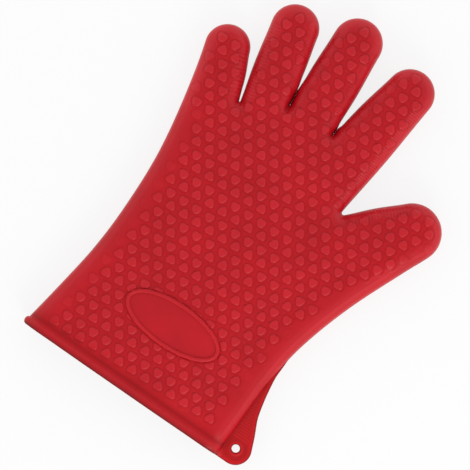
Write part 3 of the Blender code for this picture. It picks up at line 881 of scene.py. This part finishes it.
def rim_bead(look):
    """The rolled bead round the mouth, with the small knob at its little finger's end."""
    radius = RIM_DIAMETER / 2
    depth, reach = HALF_THICKNESS - radius, EDGE_ROUND - radius
    left, right = LEFT_SIDE[0][0] + radius, RIGHT_SIDE[-1][0] - radius
    curl = [(reach * (1 - cos(t)), depth * sin(t)) for t in (pi / 2 * k / 16 for k in range(16))]
    top = [(left + x, z) for x, z in curl]
    top += [(x, depth) for x in np.linspace(left + reach, right - reach, 70)]
    top += [(right - x, z) for x, z in curl[::-1]]
    rise = crown(nearest_border(np.array([(x, 0.0) for x, _ in top]))[0])
    upper = [(x, HALF_THICKNESS + z + r) for (x, z), r in zip(top, rise)]
    lower = [(x, HALF_THICKNESS - z) for x, z in top[-2:0:-1]]
    path = np.array(upper + lower)
    outward = left_of(ways_round(path))

    def section(k):
        (x, z), (out_x, out_z) = path[k], outward[k]
        knob = hump(x - left, 2.4)
        x -= 0.8 * knob
        size, half = radius * (1 + 0.12 * knob), BEAD_WIDTH / 2
        return [
            (x + size * out_x * cos(t), half + half * sin(t), z + size * out_z * cos(t))
            for t in full_turn(18)
        ]

    places, faces = tube(len(path), section)
    # The bead's colour carries its painted shade.
    bead = mesh_object("rim_bead", places, faces, look, bead_shade(places[:, 1]))
    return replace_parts(bead, "cuff_rim")


def oval_ridge(look):
    """The smooth oval bead that frames the blank panel."""
    half_width = RIDGE_WIDTH / 2
    a, b = PANEL_LENGTH / 2 - half_width, PANEL_WIDTH / 2 - half_width
    turns = full_turn(160)
    path = np.column_stack((a * np.cos(turns), b * np.sin(turns))) + PANEL_MIDDLE
    outward = unit(np.column_stack((b * np.cos(turns), a * np.sin(turns))))
    level = HALF_THICKNESS * 2 - NUB_HEIGHT + crown(nearest_border(path)[0]) + RIDGE_LIFT

    def section(k):
        return [
            (*(path[k] + outward[k] * half_width * cos(t)), level[k] + RIDGE_HALF_HEIGHT * sin(t))
            for t in full_turn(14)
        ]

    places, faces = tube(len(path), section)
    # The whole ridge gets a pale tone: painted light, as on a lit top.
    ridge = mesh_object("oval_ridge", places, faces, look, np.full(len(places), 0.95))
    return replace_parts(ridge, "panel_ridge")


def thumb_side():
    """The glove's outline beside the tab, from the mouth on."""
    side = BORDER[(BORDER[:, 0] > 0) & (BORDER[:, 1] < TAB_TOP_Y + 6)]
    return side[np.argsort(side[:, 1])]


def tab_outline():
    """The tab's rim: its mouth end, the round corner, the outer edge, and back along the glove's side.
    Also how many of its points come before that side."""
    side = thumb_side()
    heights = np.linspace(0.0, TAB_TOP_Y, 75)
    tuck = 0.6 + 1.2 * (1 - eased(heights, 3.0, 6.0)) + 1.4 * eased(heights, 45.0, 58.0)
    inner = [(float(np.interp(y, side[:, 1], side[:, 0])) - t, y) for y, t in zip(heights, tuck)]
    (x, y), r = TAB_EDGE[0] - TAB_HOLE, TAB_CORNER_RADIUS
    turns = np.linspace(-pi / 2, atan2(y, x) - acos(r / hypot(x, y)), 30)
    arc = [(TAB_HOLE[0] + r * cos(t), r * (1 + sin(t))) for t in turns]
    top = (inner[-1][0] + 1.7, TAB_TOP_Y)
    edge, _ = smooth_curve([arc[-1], *TAB_EDGE, *TAB_TOP, top], 1.0)
    mouth = [(x, 0.0) for x in np.linspace(inner[0][0], arc[0][0], 8)[:-1]]
    outer = mouth + arc + [tuple(p) for p in edge[1:]]
    return np.array(outer + inner[:0:-1]), len(outer)


def tab_face(rim, hole):
    """The tab's flat inside its rounded edges: points, those of the two rims first, and triangles."""
    hole_radius = TAB_HOLE_DIAMETER / 2 + TAB_ROUNDING
    grid = grid_points(TAB_PITCH)
    grid = grid[inside(grid, rim)]
    grid = grid[distances(grid, TAB_HOLE) > hole_radius + 0.3]
    grid = grid[np.array([distances(rim, p).min() for p in grid]) > 0.25]
    count, n = len(rim), len(hole)
    points = np.vstack((rim, hole, grid))
    triangles = filled(points, count, [(count + i, count + (i + 1) % n) for i in range(n)])
    middle = points[triangles].mean(1)
    return points, counter_clockwise(points, triangles[distances(middle, TAB_HOLE) > hole_radius - 0.05])


def tab_relief(points, edge):
    """How far the tab's faces rise, with the ribs and the fillet at the bead's end, and their painted shade.
    """
    y, side = points[:, 1], thumb_side()
    from_edge = np.array([distances(edge, p).min() for p in points])
    from_hole = distances(points, TAB_HOLE) - TAB_HOLE_DIAMETER / 2
    field = eased(from_edge, *TAB_BORDER) * eased(from_hole, *TAB_HOLE_BORDER)
    ribbed = field * eased(y, *TAB_RIBS_FROM)
    wave = (0.5 + 0.5 * np.cos(y * tau / TAB_RIB_PITCH)) * ribbed
    from_body = points[:, 0] - np.interp(y, side[:, 1], side[:, 0])
    by_mouth = 1 - eased(y, BEAD_WIDTH, BEAD_WIDTH + 2.0)
    bead_share = hump(np.maximum(from_body + 1.4, 0), TAB_FILLET_REACH) * by_mouth
    fillet = TAB_FILLET * bead_share * np.sin(pi * np.clip(y / BEAD_WIDTH, 0, 1))
    # Painted shade in the sunk field and beside the glove's body, painted light on the ribs' crests, and the
    # bead's painted shade where the fillet climbs it.
    tone = 0.895 - 0.35 * field + 0.35 * wave - 0.30 * (1 - eased(from_body, -0.5, 3.0)) * (1 - by_mouth)
    tone += bead_share * (bead_shade(y) - tone)
    return -TAB_FIELD_DEPTH * field + TAB_FIELD_DEPTH * wave + fillet, tone


def tab_web(look):
    """The flat web beside the mouth, with ribs across it, a plain border and the hanging hole."""
    rim, outer_count = tab_outline()
    inward = left_of(ways_round(rim))
    half = TAB_THICKNESS / 2
    turns = [pi / 2 * k / 5 for k in range(6)]
    insets = [TAB_ROUNDING * (1 - cos(t)) for t in turns]
    drops = [half - TAB_ROUNDING * (1 - sin(t)) for t in turns]
    rings = [rim + inward * inset for inset in insets]
    around = full_turn(48)
    circle = np.column_stack((np.cos(around), np.sin(around)))
    hole = [TAB_HOLE + circle * (TAB_HOLE_DIAMETER / 2 + inset) for inset in insets]
    points, triangles = tab_face(rings[-1], hole[-1])
    rise, tone = tab_relief(points, rim[:outer_count])
    count, n, bands = len(rim), len(around), len(rings) - 1
    places, relief, faces = [], [], []
    for sign in (1, -1):
        base = sum(len(p) for p in places)
        flat = base + bands * (count + n)
        for ring, drop in [*zip(rings[:-1], drops), *zip(hole[:-1], drops)]:
            places.append(np.column_stack((ring, np.full(len(ring), HALF_THICKNESS + sign * drop))))
            # Painted shade on the rounded edges of the rim and the hole.
            relief.append(np.full(len(ring), 0.8 * (1 - drop / half)))
        places.append(np.column_stack((points, HALF_THICKNESS + sign * (half + rise))))
        relief.append(tone)
        found = []
        for start, size, last, turn in ((base, count, flat, 1), (base + bands * count, n, flat + count, -1)):
            starts = [start + k * size for k in range(bands)] + [last]
            for a, b in zip(starts, starts[1:]):
                found += strip(a, b, size, turn)
        found += [tuple(t + flat) for t in triangles]
        faces += [face[::sign] for face in found]
    faces += strip(base, 0, count) + strip(base + bands * count, bands * count, n, -1)
    tab = mesh_object("tab_web", np.vstack(places), faces, look, np.concatenate(relief))
    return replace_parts(tab, "hang_tab")


# ------------ materials


# Colours of the painted shade and painted light: darkest (0) for painted shade in folds and along the parting
# line, palest (1) for painted light on tops.
SKIN_SHADES = (
    (0.0, (0.17, 0.0008, 0.002)), (0.30, (0.440, 0.0022, 0.0070)),
    (0.60, (0.485, 0.0050, 0.0115)), (1.0, (0.550, 0.0135, 0.0225)),
)
BEAD_SHADES = ((0.0, (0.20, 0.001, 0.003)), (0.5, (0.42, 0.005, 0.010)), (1.0, (0.54, 0.011, 0.018)))
TAB_SHADES = ((0.0, (0.15, 0.001, 0.003)), (0.3, (0.38, 0.001, 0.003)), (1.0, (0.56, 0.006, 0.010)))


def set_inputs(tree, node, inputs):
    """Gives each of a node's inputs, by name or number, its value or the socket that leads to it."""
    for name, given in inputs.items():
        if isinstance(given, bpy.types.NodeSocket):
            tree.links.new(given, node.inputs[name])
        else:
            node.inputs[name].default_value = given


def add_node(tree, kind, inputs, **settings):
    """A new shader node of a kind."""
    made = tree.nodes.new("ShaderNode" + kind)
    for name, value in settings.items():
        setattr(made, name, value)
    set_inputs(tree, made, inputs)
    return made


def ranged(tree, value, low, high, start=0.0, end=1.0):
    """A value that goes from low to high while another goes from start to end."""
    inputs = {"Value": value, "From Min": start, "From Max": end, "To Min": low, "To Max": high}
    return add_node(tree, "MapRange", inputs).outputs["Result"]


def silicone(name, shades, roughness):
    """Satin silicone: darker in the valleys by painted shade, paler on the tops by painted light, faintly
    clouded, with a fine moulded grain, and matte in the darkest painted folds. shades are pairs of a place
    from 0 to 1 and the colour there."""
    made = bpy.data.materials.new(name)
    made.use_nodes = True
    tree = made.node_tree
    rest = add_node(tree, "Attribute", {}, attribute_name="rest").outputs["Vector"]
    relief = add_node(tree, "Attribute", {}, attribute_name="relief").outputs["Fac"]

    def noise(scale, detail):
        return add_node(tree, "TexNoise", {"Vector": rest, "Scale": scale, "Detail": detail}).outputs["Fac"]

    # The ramp turns the painted shade and painted light into colour.
    tint = add_node(tree, "ValToRGB", {"Fac": relief})
    stops = tint.color_ramp.elements
    while len(stops) < len(shades):
        stops.new(1.0)
    for stop, (place, colour) in zip(stops, shades):
        stop.position = place
        stop.color = (*colour, 1)
    cloud = ranged(tree, noise(45.0, 3.0), 0.93, 1.07, 0.3, 0.7)
    clouded = add_node(tree, "VectorMath", {0: tint.outputs["Color"], "Scale": cloud}, operation="SCALE")
    gloss = ranged(tree, noise(380.0, 2.0), roughness - 0.05, roughness + 0.05)
    matte = ranged(tree, relief, 0.85, 0.0, end=0.25)
    grain = {"Strength": 0.12, "Distance": 0.05 * mm, "Height": noise(2600.0, 2.0)}
    set_inputs(tree, tree.nodes["Principled BSDF"], {
        "Base Color": clouded.outputs["Vector"],
        "Roughness": add_node(tree, "Math", {0: gloss, 1: matte}, operation="MAXIMUM").outputs["Value"],
        "IOR": 1.42,
        "Specular IOR Level": 0.30,
        "Normal": add_node(tree, "Bump", grain).outputs["Normal"],
    })
    return made


# ------------ studio

VIEW_TURN_DEG = 34.66  # the photograph's upright, turned from the glove's own
VIEW_MIDDLE = (-11.73 * mm, -18.59 * mm)
VIEW_WIDTH = 289.05 * mm  # across the picture at the glove's parting line
CAMERA_HEIGHT = 2.4
KEY_TURN_DEG = -75.0  # where the key light stands in the picture, from its right
KEY_RISE_DEG = 32.0
KEY_DISTANCE = 1.3
KEY_SIZE = 0.55
KEY_POWER = 4.2
SKY_ABOVE = 0.55  # a tent that is brighter round the sides than overhead
SKY_ROUND = 1.50
FLOOR_GLOW = 0.82  # share of the floor's look that is its own glow
FLOOR_REACH = 3.0
FLOOR_LEVEL = -0.1 * mm


def make_camera():
    """Looks straight down, as in the photograph."""
    data = bpy.data.cameras.new("camera")
    data.sensor_width = 36.0
    data.lens = data.sensor_width * (CAMERA_HEIGHT - HALF_THICKNESS * mm) / VIEW_WIDTH
    camera = put_in_scene("camera", data)
    camera.location = (*VIEW_MIDDLE, CAMERA_HEIGHT)
    camera.rotation_euler = (0, 0, radians(VIEW_TURN_DEG))
    data.clip_start, data.clip_end = 0.05, 50
    bpy.context.scene.camera = camera


def make_key():
    """One soft, low light from a side."""
    turn, rise = radians(VIEW_TURN_DEG + KEY_TURN_DEG), radians(KEY_RISE_DEG)
    way = Vector((cos(turn) * cos(rise), sin(turn) * cos(rise), sin(rise)))
    data = bpy.data.lights.new("key", "AREA")
    data.shape = "DISK"
    data.size = KEY_SIZE
    data.energy = KEY_POWER
    key = put_in_scene("key", data)
    key.location = Vector((*VIEW_MIDDLE, 0)) + way * KEY_DISTANCE
    key.rotation_euler = way.to_track_quat("Z", "Y").to_euler()


def make_world():
    """A tent of light, which the camera sees as plain white."""
    world_made = bpy.data.worlds.new("world")
    bpy.context.scene.world = world_made
    world_made.use_nodes = True
    tree = world_made.node_tree
    way = add_node(tree, "TexCoord", {}).outputs["Generated"]
    up = add_node(tree, "SeparateXYZ", {"Vector": way}).outputs["Z"]
    tent = tree.nodes["Background"]
    set_inputs(tree, tent, {"Color": (1, 1, 1, 1), "Strength": ranged(tree, up, SKY_ROUND, SKY_ABOVE)})
    white = add_node(tree, "Background", {"Strength": 1.0})
    seen = add_node(tree, "LightPath", {}).outputs["Is Camera Ray"]
    mix = {"Fac": seen, 1: tent.outputs["Background"], 2: white.outputs["Background"]}
    surface = add_node(tree, "MixShader", mix).outputs["Shader"]
    set_inputs(tree, tree.nodes["World Output"], {"Surface": surface})


def make_floor():
    """A pale floor that glows faintly to what looks at it, so that it shows nearly white."""
    look = bpy.data.materials.new("floor")
    look.use_nodes = True
    tree = look.node_tree
    shader = tree.nodes["Principled BSDF"]
    pale = {"Base Color": (0.92, 0.92, 0.92, 1), "Roughness": 0.8, "Specular IOR Level": 0.1}
    set_inputs(tree, shader, pale)
    rays = add_node(tree, "LightPath", {}).outputs
    seen = rays["Is Camera Ray"]
    for ray in ("Is Glossy Ray", "Is Transmission Ray"):
        seen = add_node(tree, "Math", {0: seen, 1: rays[ray]}, operation="MAXIMUM").outputs[0]
    glow_share = add_node(tree, "Math", {0: seen, 1: FLOOR_GLOW}, operation="MULTIPLY").outputs[0]
    glow = add_node(tree, "Emission", {"Strength": 1.0}).outputs["Emission"]
    surface = add_node(tree, "MixShader", {"Fac": glow_share, 1: shader.outputs["BSDF"], 2: glow})
    set_inputs(tree, tree.nodes["Material Output"], {"Surface": surface.outputs["Shader"]})
    mesh = bpy.data.meshes.new("floor")
    r = FLOOR_REACH
    corners = [(x, y, FLOOR_LEVEL) for x, y in ((-r, -r), (r, -r), (r, r), (-r, r))]
    mesh.from_pydata(corners, [], [(0, 1, 2, 3)])
    mesh.materials.append(look)
    put_in_scene("floor", mesh)


# ------------ the scene


def at(finger, reach):
    """A point of the row's frame at a reach along a finger."""
    tip, way = np.array(finger.tip), heading(finger)
    place = tip + way * (reach - tip @ way)
    return tuple(world(np.array((*place, HALF_THICKNESS))))


def over_wrist(piece):
    """Bakes a piece's transform into its mesh."""
    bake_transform(piece)
    return piece


def hang_on_bodies(pieces):
    """Attaches the palm's piece to the palm's body, and bakes the transforms of the cuff's and the fingers'
    pieces into their meshes.
    """
    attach(pieces["palm_shell"], "palm")
    over_wrist(pieces["cuff_sleeve"])
    for finger in FINGERS:
        nearer = "palm"
        for k, (segment, crease) in enumerate(zip(SEGMENTS[len(finger.creases)], finger.creases)):
            body = f"{finger.name}_{segment}"
            before, after = (CREASE_BEND, CREASE_BEND) if k else (ROOT_START, ROOT_END)
            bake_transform(pieces[body], nearer, body, at(finger, crease - before), at(finger, crease + after))
            nearer = body


def main():
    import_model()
    bpy.context.scene.view_settings.view_transform = "Standard"
    skin_look = silicone("skin_silicone", SKIN_SHADES, 0.38)
    bead_look = silicone("bead_silicone", BEAD_SHADES, 0.40)
    tab_look = silicone("tab_silicone", TAB_SHADES, 0.46)
    hang_on_bodies(skin_pieces(skin_look))
    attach(rim_bead(bead_look), "cuff")
    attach(oval_ridge(bead_look), "cuff")
    over_wrist(tab_web(tab_look))
    make_camera()
    make_key()
    make_world()
    make_floor()


main()
